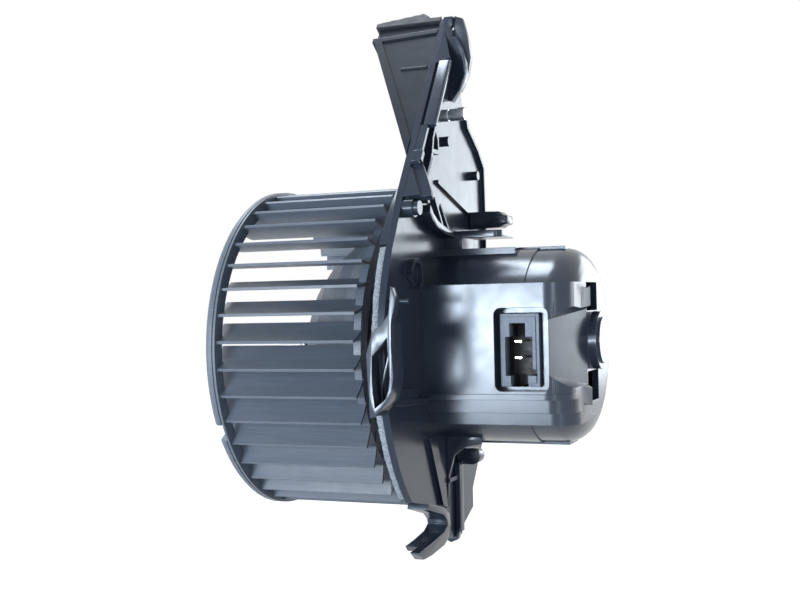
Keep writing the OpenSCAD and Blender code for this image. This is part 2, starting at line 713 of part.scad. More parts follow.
module end_frame() {
  color([0.24, 0.25, 0.27]) difference() {
    union() {
      turned(96) polygon([[can_r - 2.4, can_rear], [can_r, can_rear], [can_r, frame_rear - 1],
        [can_r - 1, frame_rear], [shaft_r + 1, frame_rear], [shaft_r + 1, frame_rear - 2.5],
        [can_r - 2.4, frame_rear - 2.5]]);
      turned(48) translate([bush_r, 46]) square([2.4, 10]);
      for (a = [45, 135, 225, 315]) rotate([a, 0, 0]) bar_x(2.6, card_x + card_t, frame_rear - 2, 0, 24, 24);
    }
    slab([can_rear - 1, -60, -19], [frame_rear + 1, -conn_base, 19]);
    for (a = [45, 135, 225, 315]) rotate([a, 0, 0]) bar_x(1.2, card_x, card_x + card_t + 7, 0, 24, 24);
  }
}

module brush_card() {
  color([0.45, 0.3, 0.2]) difference() {
    bar_x(card_r - clear, card_x, card_x + card_t, 0, 0, 96);
    bar_x(comm_r + 2, card_x - 1, card_x + card_t + 1, 0, 0, 48);
    slab([card_x - 1, -60, -20], [card_x + card_t + 1, -conn_base + clear, 20]);
    for (a = [45, 135, 225, 315]) rotate([a, 0, 0]) bar_x(1.6, card_x - 1, card_x + card_t + 1, 0, 24, 24);
  }
}

module brush_box() {
  difference() {
    slab([brush_x - brush_gap - 0.8, -brush_w / 2 - brush_gap - 0.8, brush_in + 2],
      [card_x, brush_w / 2 + brush_gap + 0.8, box_out + 0.8]);
    slab([brush_x - brush_gap, -brush_w / 2 - brush_gap, brush_in],
      [brush_x + brush_l + brush_gap, brush_w / 2 + brush_gap, box_out]);
  }
}

module brush_boxes() {
  color([0.78, 0.66, 0.38]) {
    brush_box();
    rotate([180, 0, 0]) brush_box();
  }
}

module chokes() {
  color([0.75, 0.45, 0.25]) for (s = [-1, 1]) {
    for (k = [-5 : 5]) translate([card_x - 3, s * 23, k * 1.3]) rotate_extrude($fn = 32)
      translate([1.8, 0]) circle(r = 0.62, $fn = 16);
    translate([card_x - 3, s * 23, -8]) cylinder(h = 16, r = 1.5, $fn = 32);
    slab([card_x - 3, s * 23 - 1, -7.9], [card_x, s * 23 + 1, -7.3]);
    slab([card_x - 3, s * 23 - 1, 7.3], [card_x, s * 23 + 1, 7.9]);
  }
}

module card_screws() {
  color([0.72, 0.73, 0.75]) for (a = [45, 135, 225, 315]) rotate([a, 0, 0]) {
    bar_x(1.2, card_x - 1, card_x + card_t + 6, 0, 24, 24);
    difference() {
      bar_x(2.8, card_x - 2.2, card_x, 0, 24, 32);
      slab([card_x - 3, -0.4, 22], [card_x - 1.4, 0.4, 26]);
      slab([card_x - 3, -2, 23.6], [card_x - 1.4, 2, 24.4]);
    }
  }
}

module isolator(x0, x1) {
  difference() {
    turned(96) polygon([[can_r, x0], [cover_in, x0], [cover_in, x1], [can_r, x1]]);
    for (i = [0 : 11]) rotate([i * 30, 0, 0]) bar_x(1, x0 - 1, x1 + 1, 0, (can_r + cover_in) / 2, 16);
  }
}

module front_isolator() {
  color([0.14, 0.14, 0.15]) isolator(plate_t, plate_t + 6);
}

module rear_isolator() {
  color([0.14, 0.14, 0.15]) isolator(27, 33);
}

module rear_buffer() {
  color([0.14, 0.14, 0.15]) turned(48) translate([7.5, frame_rear])
    square([4.5, cover_end - cover_wall - frame_rear]);
}

// Turning parts of the motor
module shaft() {
  color([0.78, 0.79, 0.8]) turned(48) polygon([[0, -89], [shaft_r - 0.8, -89], [shaft_r, -88.2],
    [shaft_r, 61.2], [shaft_r - 0.8, 62], [0, 62]]);
}

core_x = -14;

module armature_core() {
  color([0.52, 0.53, 0.55]) difference() {
    turned(96) translate([shaft_r, core_x]) square([core_r - shaft_r, core_len]);
    for (i = [0 : slot_count - 1]) rotate([i * 360 / slot_count, 0, 0]) {
      bar_x(3, core_x - 1, core_x + core_len + 1, 0, core_r - 6.4, 32);
      slab([core_x - 1, -0.9, core_r - 6], [core_x + core_len + 1, 0.9, core_r + 1]);
    }
  }
}

module windings() {
  color([0.7, 0.36, 0.18]) {
    turned(64) end_turns(core_x - 8, core_x);
    turned(64) end_turns(core_x + core_len, core_x + core_len + 8);
    for (i = [0 : slot_count - 1]) rotate([i * 360 / slot_count, 0, 0])
      bar_x(2.7, core_x - 1, core_x + core_len + 1, 0, core_r - 6.4, 24);
  }
}

module end_turns(x0, x1) {
  polygon([[shaft_r + 3, x0 + 1], [shaft_r + 5, x0], [core_r - 7, x0], [core_r - 4, x0 + 2.5],
    [core_r - 3.4, (x0 + x1) / 2], [core_r - 4, x1 - 2.5], [core_r - 4, x1], [shaft_r + 3, x1]]);
}

module commutator() {
  color([0.74, 0.5, 0.3]) difference() {
    turned(64) polygon([[shaft_r, 27], [comm_r + 1.6, 27], [comm_r + 1.6, 29], [comm_r, 29.4],
      [comm_r, 41], [shaft_r, 41]]);
    for (i = [0 : slot_count - 1]) rotate([(i + 0.5) * 360 / slot_count, 0, 0])
      slab([26, -0.25, comm_r - 0.8], [42, 0.25, comm_r + 3]);
  }
}

module thrust_washers() {
  color([0.3, 0.3, 0.32]) {
    turned(48) translate([shaft_r, can_front + 4]) square([4, 1]);
    turned(48) translate([shaft_r, 43.4]) square([2, 1]);
  }
}

// Brushes and springs
module brush() {
  difference() {
    slab([brush_x, -brush_w / 2, 8], [brush_x + brush_l, brush_w / 2, brush_out]);
    bar_x(brush_in, brush_x - 1, brush_x + brush_l + 1, 0, 0, 64);
  }
}

module brush_upper() {
  color([0.16, 0.16, 0.17]) brush();
}

module brush_lower() {
  color([0.16, 0.16, 0.17]) rotate([180, 0, 0]) brush();
}

module brush_spring() {
  for (k = [0 : 3]) translate([brush_x + brush_l / 2, 0, brush_out + 0.4 + k * 1.24])
    rotate_extrude($fn = 32) translate([2, 0]) circle(r = 0.35, $fn = 16);
}

module spring_upper() {
  color([0.75, 0.75, 0.76]) brush_spring();
}

module spring_lower() {
  color([0.75, 0.75, 0.76]) rotate([180, 0, 0]) brush_spring();
}

flange();
motor_cover();
cover_pad();
cover_cap();
foam_gasket();
air_scoop();
mouth_seal();
duct_cover();
latch_pin();
shelf_arm();
side_rail();
mounting_ear();
lock_hook();
claw();
connector_insert();
terminals();
motor_can();
field_magnets();
magnet_clips();
front_bush();
front_retainer();
rear_bush();
rear_retainer();
end_frame();
brush_card();
brush_boxes();
chokes();
card_screws();
front_isolator();
rear_isolator();
rear_buffer();
fan_wheel();
fan_hub();
hub_insert();
hub_clip();
balance_clips();
shaft();
armature_core();
windings();
commutator();
thrust_washers();
brush_upper();
brush_lower();
spring_upper();
spring_lower();
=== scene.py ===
# %% [markdown]
# A heater blower: a cage of curved blades on a motor, in one moulded flange.
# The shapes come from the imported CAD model, which is loaded as a fixed frame. This script adds what
# a solid modeller has no feel for: grained and glossy plastic, torn foam, wound springs and light.

import json
import math

import bmesh
import bpy
from mathutils import Matrix, Vector, noise

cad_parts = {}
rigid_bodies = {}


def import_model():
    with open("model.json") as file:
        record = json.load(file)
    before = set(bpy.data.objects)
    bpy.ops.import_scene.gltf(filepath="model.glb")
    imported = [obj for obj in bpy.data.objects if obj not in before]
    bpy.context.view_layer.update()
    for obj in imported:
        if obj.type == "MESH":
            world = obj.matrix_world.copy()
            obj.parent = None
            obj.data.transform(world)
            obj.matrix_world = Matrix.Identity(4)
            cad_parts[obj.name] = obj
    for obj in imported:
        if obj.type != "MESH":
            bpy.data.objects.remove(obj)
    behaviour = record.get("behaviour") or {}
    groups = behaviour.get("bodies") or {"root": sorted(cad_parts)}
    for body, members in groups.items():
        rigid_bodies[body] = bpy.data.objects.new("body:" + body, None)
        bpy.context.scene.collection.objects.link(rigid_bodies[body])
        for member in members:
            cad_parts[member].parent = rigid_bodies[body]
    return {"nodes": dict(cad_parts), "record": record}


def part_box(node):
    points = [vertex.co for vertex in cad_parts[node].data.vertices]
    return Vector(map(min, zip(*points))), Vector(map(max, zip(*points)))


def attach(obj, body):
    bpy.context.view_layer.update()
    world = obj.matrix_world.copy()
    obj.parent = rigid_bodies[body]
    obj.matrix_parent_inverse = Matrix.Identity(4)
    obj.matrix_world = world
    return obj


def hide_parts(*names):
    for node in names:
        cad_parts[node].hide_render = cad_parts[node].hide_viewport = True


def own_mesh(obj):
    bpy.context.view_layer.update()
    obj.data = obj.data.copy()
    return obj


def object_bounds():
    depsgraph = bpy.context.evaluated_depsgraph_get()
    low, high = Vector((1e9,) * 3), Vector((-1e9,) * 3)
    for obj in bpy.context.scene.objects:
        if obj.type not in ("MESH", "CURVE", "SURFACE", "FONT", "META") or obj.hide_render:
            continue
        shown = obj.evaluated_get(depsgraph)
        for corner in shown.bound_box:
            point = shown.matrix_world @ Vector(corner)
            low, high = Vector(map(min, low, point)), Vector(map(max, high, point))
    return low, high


for leftover in list(bpy.data.objects):
    bpy.data.objects.remove(leftover)
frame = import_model()
cad_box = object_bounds()
print("CAD box in mm", [[round(c * 1000, 1) for c in corner] for corner in cad_box])

# %% [markdown]
# The camera stands 22 mm above the shaft's level, to the right of the near side, and looks level
# across the motor cover towards the wheel. Its place and lens were solved from known points of the
# part. It leans a little over one degree, so the right and up directions are turned together
# before they are set.

# %% Camera
camera_place = Vector((0.18305, -0.51489, 0.02195))
looking = Vector((-0.3757, 0.9267, 0.0)).normalized()
lean = math.radians(-1.31)
level_right = looking.cross(Vector((0, 0, 1)))
camera_right = math.cos(lean) * level_right + math.sin(lean) * Vector((0, 0, 1))
camera_up = math.cos(lean) * Vector((0, 0, 1)) - math.sin(lean) * level_right
camera_data = bpy.data.cameras.new("camera")
camera_data.sensor_width = 36.0
camera_data.lens = 51.98
camera_data.clip_start = 0.02
camera = bpy.data.objects.new("camera", camera_data)
bpy.context.scene.collection.objects.link(camera)
turn = Matrix((camera_right, camera_up, -looking)).transposed().to_4x4()
camera.matrix_world = Matrix.Translation(camera_place) @ turn
bpy.context.scene.camera = camera
print("camera at", [round(c, 3) for c in camera_place], "lens", camera_data.lens, "mm")

# %% [markdown]
# Every finish is a small tree of nodes. They all start alike: a shader, the position on the part in
# millimetres, and a bevel node that softens the sharp CAD edges in the shading only, because a
# moulded edge always has a small radius that catches the light. A helper keeps the trees short.


# %% Helper for finishes
class Finish:
    """A new material with its shader, and short ways to add and join nodes."""

    def __init__(self, name, colour, rough, metal=0.0, edge=0.25):
        self.material = bpy.data.materials.new(name)
        self.material.use_nodes = True
        self.nodes = self.material.node_tree.nodes
        self.links = self.material.node_tree.links
        self.shader = self.nodes["Principled BSDF"]
        self.shader.inputs["Base Color"].default_value = (*colour, 1)
        self.shader.inputs["Roughness"].default_value = rough
        self.shader.inputs["Metallic"].default_value = metal
        place = self.nodes.new("ShaderNodeTexCoord").outputs["Object"]
        scale = self.nodes.new("ShaderNodeMapping")
        scale.inputs["Scale"].default_value = (1000, 1000, 1000)
        self.join(place, scale.inputs["Vector"])
        self.mm = scale.outputs["Vector"]
        self.normal = None
        if edge:
            bevel = self.nodes.new("ShaderNodeBevel")
            bevel.samples = 4
            bevel.inputs["Radius"].default_value = edge / 1000
            self.normal = bevel.outputs["Normal"]
            self.join(self.normal, self.shader.inputs["Normal"])

    def join(self, a, b):
        self.links.new(a, b)

    def stretched(self, x, y, z):
        """Positions squeezed per axis, so that a pattern runs long along the small one."""
        node = self.nodes.new("ShaderNodeMapping")
        node.inputs["Scale"].default_value = (x, y, z)
        self.join(self.mm, node.inputs["Vector"])
        return node.outputs["Vector"]

    def cloud(self, per_mm, detail=3.0, where=None, hard=0.5):
        """Soft noise with about per_mm patches in a millimetre."""
        node = self.nodes.new("ShaderNodeTexNoise")
        node.inputs["Scale"].default_value = per_mm
        node.inputs["Detail"].default_value = detail
        node.inputs["Roughness"].default_value = hard
        self.join(where or self.mm, node.inputs["Vector"])
        return node.outputs["Fac"]

    def cells(self, per_mm):
        """Distance to the nearest of many scattered points, which gives round grains."""
        node = self.nodes.new("ShaderNodeTexVoronoi")
        node.inputs["Scale"].default_value = per_mm
        self.join(self.mm, node.inputs["Vector"])
        return node.outputs["Distance"]

    def span(self, value, low, high, to_low, to_high):
        """value taken from the span low to high into the span to_low to to_high."""
        node = self.nodes.new("ShaderNodeMapRange")
        for name, number in zip(
            ("From Min", "From Max", "To Min", "To Max"), (low, high, to_low, to_high)
        ):
            node.inputs[name].default_value = number
        self.join(value, node.inputs["Value"])
        return node.outputs["Result"]

    def ramp(self, value, *stops):
        """A colour for each value, blended between stops of a place and a colour."""
        node = self.nodes.new("ShaderNodeValToRGB")
        band = node.color_ramp
        while len(band.elements) < len(stops):
            band.elements.new(0.5)
        for element, (at, colour) in zip(band.elements, stops):
            element.position = at
            element.color = (*colour, 1)
        self.join(value, node.inputs["Fac"])
        return node.outputs["Color"]

    def mix(self, share, a, b):
        """Colour a where share is 0 and b where it is 1. Each may be a colour or a socket."""
        node = self.nodes.new("ShaderNodeMix")
        node.data_type = "RGBA"
        # The node holds a set of sockets for each kind of data, so the colour ones go by number.
        share_socket, a_socket, b_socket = node.inputs[0], node.inputs[6], node.inputs[7]
        for socket, value in ((a_socket, a), (b_socket, b)):
            if isinstance(value, tuple):
                socket.default_value = (*value, 1)
            else:
                self.join(value, socket)
        self.join(share, share_socket)
        return node.outputs[2]

    def bump(self, height, depth_mm, strength=1.0):
        """Adds a height pattern over the softened edges."""
        node = self.nodes.new("ShaderNodeBump")
        node.inputs["Strength"].default_value = strength
        node.inputs["Distance"].default_value = depth_mm / 1000
        self.join(height, node.inputs["Height"])
        if self.normal:
            self.join(self.normal, node.inputs["Normal"])
        self.normal = node.outputs["Normal"]
        self.join(self.normal, self.shader.inputs["Normal"])

    def colour(self, socket):
        self.join(socket, self.shader.inputs["Base Color"])

    def rough(self, socket):
        self.join(socket, self.shader.inputs["Roughness"])

    def edge_mask(self, wide_mm, strong):
        """1 on outer edges and 0 elsewhere, from how far a wide bevel turns the normal."""
        wide = self.nodes.new("ShaderNodeBevel")
        wide.samples = 4
        wide.inputs["Radius"].default_value = wide_mm / 1000
        flat = self.nodes.new("ShaderNodeNewGeometry").outputs["Normal"]
        dot = self.nodes.new("ShaderNodeVectorMath")
        dot.operation = "DOT_PRODUCT"
        self.join(wide.outputs["Normal"], dot.inputs[0])
        self.join(flat, dot.inputs[1])
        return self.span(dot.outputs["Value"], 1.0, 1.0 - strong, 0.0, 1.0)


finishes = {}

# %% [markdown]
# The flange and motor cover are moulded in a black filled plastic with a semi-gloss skin. Such a skin
# is never even: it is smoother where the mould was hot, has a faint orange peel, and is paler on its
# edges, partly from rubbed wear and partly as a painted highlight. Noise at a few sizes drives the
# roughness, the peel and a slight change of tone. The flange is duller than the cover, and the scoop
# duller still, so both get a skin of their own; their darker base colours are painted shade as well,
# the scoop's much darker and the flange's a little.


# %% Housing plastic
def moulded_skin(name, colour, pale, rough, gloss=0.6):
    f = Finish(name, colour, rough, edge=0.3)
    f.shader.inputs["Specular IOR Level"].default_value = gloss
    f.shader.inputs["Specular Tint"].default_value = (0.84, 0.91, 1.0, 1)
    patches = f.cloud(0.045, 4.0)
    tone = f.mix(f.span(patches, 0.3, 0.75, 0.0, 0.12), colour, pale)
    # Painted highlight, partly wear: the edges are mixed towards the paler colour.
    f.colour(f.mix(f.edge_mask(0.45, 0.3), tone, pale))
    f.rough(f.span(f.cloud(0.16, 5.0), 0.25, 0.75, rough - 0.03, rough + 0.05))
    f.bump(f.cloud(0.25, 2.0), 0.03, 0.2)
    f.bump(f.cloud(4.0, 2.0), 0.008, 0.25)
    return f.material


finishes["housing_plastic"] = moulded_skin(
    "housing_plastic", (0.024, 0.033, 0.052), (0.075, 0.1, 0.145), 0.2
)
# Painted shade: the scoop's skin, and a little the flange's, is the same plastic with a darker base
# colour where it lies in shadow.
own_finish = {
    "air_scoop": moulded_skin(
        "scoop_shaded_skin", (0.011, 0.015, 0.023), (0.05, 0.062, 0.085), 0.32, gloss=0.2
    ),
    "flange": moulded_skin(
        "flange_shaded_skin", (0.02, 0.028, 0.046), (0.07, 0.09, 0.13), 0.22, gloss=0.32
    ),
}
print("housing plastic made with", len(finishes["housing_plastic"].node_tree.nodes), "nodes")

# %% [markdown]
# The wheel is the same family of plastic with a matte, grained skin. Glass fibre in it flows along
# the blades, which leaves faint streaks in line with the shaft. The streaks come from noise that is
# squeezed along X, and the grain from fine noise as bump.


# %% Wheel plastic
def grained_skin():
    f = Finish("wheel_plastic", (0.12, 0.146, 0.19), 0.5, edge=0.2)
    f.shader.inputs["Specular IOR Level"].default_value = 0.6
    streaks = f.cloud(0.9, 4.0, f.stretched(0.06, 1, 1))
    speck = f.cloud(2.2, 2.0)
    dark, pale = (0.105, 0.128, 0.168), (0.135, 0.163, 0.212)
    tone = f.mix(f.span(streaks, 0.3, 0.7, 0.0, 1.0), dark, pale)
    tone = f.mix(f.span(speck, 0.55, 0.8, 0.0, 0.45), tone, (0.19, 0.22, 0.27))
    # Painted highlight, partly wear: the blades' edges are mixed towards a paler colour.
    f.colour(f.mix(f.edge_mask(0.35, 0.3), tone, (0.2, 0.235, 0.29)))
    f.rough(f.span(f.cloud(0.25, 4.0), 0.25, 0.75, 0.38, 0.5))
    f.bump(f.cloud(1.6, 3.0, None, 0.6), 0.09, 0.5)
    f.bump(streaks, 0.02, 0.3)
    return f.material


finishes["wheel_plastic"] = grained_skin()
print("wheel plastic made")

# %% [markdown]
# The connector insert is a lighter grey plastic with the even, fine grain of a spark-eroded mould.
# Small cells give that grain better than soft noise does. Towards the floor of the plug's recess the
# colour is painted nearly black, a painted shade, because the real recess is narrower and deeper than
# the modelled one and lies in shadow.


# %% Connector plastic
def eroded_skin():
    f = Finish("connector_plastic", (0.17, 0.205, 0.27), 0.5, edge=0.2)
    grain = f.cells(2.6)
    tone = f.mix(f.span(grain, 0.1, 0.6, 0.0, 1.0), (0.13, 0.157, 0.21), (0.21, 0.25, 0.32))
    place = f.nodes.new("ShaderNodeSeparateXYZ")
    f.join(f.mm, place.inputs[0])
    # Painted shade: deeper in the plug's recess the colour is mixed towards near black.
    pale_to, dark_from = -39.5, -35.0
    recess_painted_shade = f.span(place.outputs["Y"], pale_to, dark_from, 0.0, 1.0)
    f.colour(f.mix(recess_painted_shade, tone, (0.012, 0.014, 0.02)))
    f.rough(f.span(f.cloud(0.4), 0.3, 0.7, 0.42, 0.6))
    f.bump(grain, 0.07, 0.5)
    return f.material


finishes["connector_plastic"] = eroded_skin()
print("connector plastic made")

# %% [markdown]
# Metals here are pressed, turned or ground. A turned or drawn surface has fine lines around or
# along it, so one helper takes a colour, a roughness and the direction in which the lines run, and
# adds a little uneven tarnish.


# %% Metals
def metal(name, colour, dull, rough, lines_along=(1, 1, 1), tarnish=0.3, ridges=0.35):
    f = Finish(name, colour, rough, 1.0, edge=0.15)
    lines = f.cloud(2.5, 3.0, f.stretched(*lines_along))
    stain = f.cloud(0.12, 5.0)
    f.colour(f.mix(f.span(stain, 0.35, 0.75, 0.0, tarnish), colour, dull))
    f.rough(f.span(lines, 0.3, 0.7, rough - 0.07, rough + 0.09))
    f.bump(lines, 0.02, ridges)
    return f.material


drawn, turned = (0.1, 1, 1), (3, 0.2, 0.2)
finishes["pin_metal"] = metal(
    "pin_metal", (0.7, 0.76, 0.84), (0.5, 0.56, 0.63), 0.42, drawn, ridges=0.05
)
finishes["steel"] = metal("steel", (0.60, 0.62, 0.65), (0.36, 0.37, 0.39), 0.34, (0.15, 1, 1))
finishes["ground_steel"] = metal(
    "ground_steel", (0.74, 0.75, 0.77), (0.55, 0.55, 0.56), 0.16, turned, 0.15
)
finishes["bronze"] = metal(
    "bronze", (0.50, 0.36, 0.21), (0.26, 0.18, 0.11), 0.42, turned, 0.5
)
finishes["brass"] = metal("brass", (0.72, 0.57, 0.29), (0.42, 0.32, 0.17), 0.3)
finishes["terminal_metal"] = metal(
    "terminal_metal", (0.90, 0.87, 0.80), (0.7, 0.65, 0.55), 0.22, (1, 0.1, 1), 0.2
)
finishes["copper"] = metal("copper", (0.64, 0.28, 0.14), (0.34, 0.12, 0.06), 0.3, drawn, 0.4)
print("metals made:", sorted(n for n in finishes if "plastic" not in n))

# %% [markdown]
# Hidden inside are a ferrite magnet, a laminated board, pressed carbon and a dark moulded plastic.
# All four are dull and grainy, and differ in tone and in how coarse the grain is.


# %% Dull inner finishes
def dull(name, colour, other, rough, grain_per_mm, depth):
    f = Finish(name, colour, rough, edge=0.2)
    grain = f.cloud(grain_per_mm, 4.0)
    f.colour(f.mix(f.span(grain, 0.3, 0.7, 0.0, 1.0), colour, other))
    f.rough(f.span(f.cloud(0.2), 0.3, 0.7, rough - 0.08, rough + 0.08))
    f.bump(grain, depth, 0.5)
    return f.material


dull_rows = {
    "magnet": ((0.035, 0.035, 0.037), (0.06, 0.06, 0.062), 0.6, 1.2, 0.1),
    "card": ((0.20, 0.115, 0.06), (0.30, 0.19, 0.11), 0.45, 0.9, 0.04),
    "carbon": ((0.022, 0.022, 0.024), (0.05, 0.05, 0.052), 0.55, 3.0, 0.06),
    "inner_plastic": ((0.03, 0.031, 0.035), (0.05, 0.052, 0.058), 0.45, 2.0, 0.03),
}
for dull_name, recipe in dull_rows.items():
    finishes[dull_name] = dull(dull_name, *recipe)
print("dull finishes made:", sorted(dull_rows))

# %% [markdown]
# Foam and rubber scatter light softly. Foam is full of torn cells that hold dark and pale specks,
# and its lit fibres glow a little at the rim, which a touch of sheen gives. Rubber is closed and
# even.


# %% Foam and rubber
def torn_foam():
    f = Finish("foam", (0.16, 0.18, 0.22), 0.95, edge=0)
    f.shader.inputs["Sheen Weight"].default_value = 0.3
    f.shader.inputs["Sheen Roughness"].default_value = 0.5
    pits = f.cells(1.5)
    specks = f.cloud(2.4, 4.0, None, 0.7)
    tone = f.ramp(
        pits,
        (0.0, (0.06, 0.067, 0.08)),
        (0.35, (0.26, 0.29, 0.34)),
        (0.8, (0.45, 0.49, 0.55)),
    )
    f.colour(f.mix(f.span(specks, 0.58, 0.75, 0.0, 0.7), tone, (0.66, 0.69, 0.73)))
    f.bump(pits, 0.5, 0.8)
    f.bump(specks, 0.25, 0.6)
    return f.material


def soft_rubber():
    black, dusty = (0.03, 0.034, 0.042), (0.075, 0.085, 0.1)
    f = Finish("seal_rubber", black, 0.62, edge=0.25)
    bloom = f.cloud(0.15, 4.0)
    f.colour(f.mix(f.span(bloom, 0.4, 0.75, 0.0, 0.6), black, dusty))
    f.rough(f.span(bloom, 0.3, 0.7, 0.5, 0.72))
    f.bump(f.cloud(1.4, 3.0), 0.06, 0.4)
    return f.material


finishes["foam"] = torn_foam()
finishes["seal_rubber"] = soft_rubber()
print("foam and rubber made")

# %% [markdown]
# The record says which slot each CAD node takes. The finish of the same name, or the node's own one
# where it has one, is linked to the node's object, which leaves its mesh as it is.

# %% Give every node its finish
slot_of = {row["node"]: row["material_slot"] for row in frame["record"]["subparts"]}
for node_name, node_object in frame["nodes"].items():
    finish = own_finish.get(node_name, finishes[slot_of[node_name]])
    if not node_object.material_slots:
        node_object.data.materials.append(finish)
    for own_slot in node_object.material_slots:
        own_slot.link = "OBJECT"
        own_slot.material = finish
print(len(frame["nodes"]), "nodes have", len(set(slot_of.values())), "finishes")

# %% [markdown]
# The foam gasket is a flat ring cut from open-cell foam. Its cut sides are ragged and its front is
# slightly pillowed, so a clean CAD ring looks wrong. The piece here starts from the CAD mesh, is
# cut into fine quads by a voxel remesh, and each point is then moved by noise of two sizes. A
# simulation would bring nothing, because the foam is held flat and only its skin is torn.


# %% Foam gasket
def smooth_all(mesh):
    mesh.polygons.foreach_set("use_smooth", [True] * len(mesh.polygons))


def ragged_copy(node_name, name, voxel_mm, coarse_mm, fine_mm, inset_mm):
    source = frame["nodes"][node_name]
    mesh = source.data.copy()
    mesh.materials.clear()
    piece = bpy.data.objects.new(name, mesh)
    bpy.context.scene.collection.objects.link(piece)
    remesh = piece.modifiers.new("remesh", "REMESH")
    remesh.mode = "VOXEL"
    remesh.voxel_size = voxel_mm / 1000
    depsgraph = bpy.context.evaluated_depsgraph_get()
    fine = bpy.data.meshes.new_from_object(piece.evaluated_get(depsgraph))
    piece.modifiers.clear()
    piece.data = fine
    fine.materials.clear()
    points = [v.co.copy() for v in fine.vertices]
    normals = [v.normal.copy() for v in fine.vertices]
    lumps_per_m, crumbs_per_m = 450, 1500
    for vertex, point, out in zip(fine.vertices, points, normals):
        coarse = noise.noise(point * lumps_per_m) * coarse_mm
        small = noise.noise(point * crumbs_per_m) * fine_mm
        vertex.co = point + out * (coarse + small - inset_mm) / 1000
    smooth_all(fine)
    fine.materials.append(finishes[slot_of[node_name]])
    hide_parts(node_name)
    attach(piece, "housing")
    return piece


foam = ragged_copy(
    "foam_gasket", "foam_gasket_torn", voxel_mm=0.6, coarse_mm=0.16, fine_mm=0.28, inset_mm=0.15
)
print("foam gasket has", len(foam.data.vertices), "points")

# %% [markdown]
# A few moulded pieces need to be cut, filled or rounded after they come from the CAD model. Such
# steps want closed meshes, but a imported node's mesh is split at its corners for shading. So each
# piece starts from a copy whose doubled points are joined again. The CAD node stays as it is.


# %% Helpers for closed copies
def edited(mesh, change):
    """Runs one change on the mesh and writes it back."""
    build = bmesh.new()
    build.from_mesh(mesh)
    change(build)
    build.to_mesh(mesh)
    build.free()


def welded_copy(node_name, name):
    """A copy of a node's mesh with its split corners joined, so that it is closed again."""
    mesh = frame["nodes"][node_name].data.copy()
    if "custom_normal" in mesh.attributes:
        mesh.attributes.remove(mesh.attributes["custom_normal"])
    edited(mesh, lambda b: bmesh.ops.remove_doubles(b, verts=b.verts, dist=2e-6))
    return bpy.data.objects.new(name, mesh)


def finished(piece, node_name, crease_degrees):
    """Shades the piece smooth but for its creases, and gives it the finish of a node's slot."""
    mesh = piece.data
    smooth_all(mesh)
    mesh.set_sharp_from_angle(angle=math.radians(crease_degrees))
    mesh.materials.clear()
    mesh.materials.append(finishes[slot_of[node_name]])


cover = welded_copy("motor_cover", "cover_with_ramp")
bpy.context.scene.collection.objects.link(cover)
print("cover starts with", len(cover.data.vertices), "points")

# %% [markdown]
# Boolean steps are the quickest way to change a solid: one mesh is joined to another or taken away
# from it. The tools here are prisms between two outlines, and are thrown away after their cut.


# %% Helpers for boolean steps
def prism(name, low, high):
    """A closed solid between two outlines of as many points, given in millimetres."""
    count = len(low)
    faces = [tuple(reversed(range(count))), tuple(range(count, 2 * count))]
    faces += [(i, (i + 1) % count, (i + 1) % count + count, i + count) for i in range(count)]
    mesh = bpy.data.meshes.new(name)
    mesh.from_pydata([Vector(point) / 1000 for point in (*low, *high)], [], faces)
    edited(mesh, lambda b: bmesh.ops.recalc_face_normals(b, faces=b.faces))
    return bpy.data.objects.new(name, mesh)


def block(name, low, high):
    """A plain block between two corners in millimetres, used as a tool and never shown."""
    (x0, y0, z0), (x1, y1, z1) = low, high
    floor = ((x0, y0, z0), (x1, y0, z0), (x1, y1, z0), (x0, y1, z0))
    return prism(name, floor, tuple((x, y, z1) for x, y, z in floor))


def worked(piece, operation, tool):
    """Changes the piece by one boolean step with a tool, which is then thrown away."""
    bpy.context.scene.collection.objects.link(tool)
    step = piece.modifiers.new("step", "BOOLEAN")
    step.operation = operation
    step.solver = "EXACT"
    step.object = tool
    depsgraph = bpy.context.evaluated_depsgraph_get()
    changed = bpy.data.meshes.new_from_object(piece.evaluated_get(depsgraph))
    piece.modifiers.clear()
    piece.data = changed
    bpy.data.objects.remove(tool)
    print(operation, "leaves", len(changed.vertices), "points")


# %% [markdown]
# Beside the connector the near pad falls away in a flat ramp, which runs out at the cover's rear
# end so that a finger can reach the plug. The CAD solids are closed there. So the pad is joined to
# the cover first, the tub under the pad is filled, and a wall is added behind the ramp's plane.

# %% Fill the cover
worked(cover, "UNION", welded_copy("cover_pad", "pad_tool"))
worked(cover, "UNION", block("tub_tool", (33.5, -45.0, -19.8), (60.9, -35.6, 19.6)))
wall_section = (
    (59.3, -45.0),
    (67.95, -15.2),
    (67.95, -14.2),
    (65.6, -13.6),
    (59.05, -36.2),
    (59.05, -45.0),
)
wall_floor = [(x, y, -19.2 - 0.2 * (y + 45)) for x, y in wall_section]
wall_top = [(x, y, 19.4 + 0.2 * (y + 45)) for x, y in wall_section]
worked(cover, "UNION", prism("wall_tool", wall_floor, wall_top))

# %% [markdown]
# The connector's pocket has round corners, and a narrower opening in its floor lets the plug's
# insert through. Both are cut from in front of the pad, straight back.


# %% Cut the pocket
def round_corners(low_x, high_x, low_z, high_z, radius):
    """A rectangle with rounded corners, as X and Z, from the centres of its corners."""
    centres = (
        (high_x, high_z, 0),
        (low_x, high_z, 90),
        (low_x, low_z, 180),
        (high_x, low_z, 270),
    )
    return [
        (
            cx + radius * math.cos(math.radians(turn)),
            cz + radius * math.sin(math.radians(turn)),
        )
        for cx, cz, start in centres
        for turn in range(start, start + 91, 15)
    ]


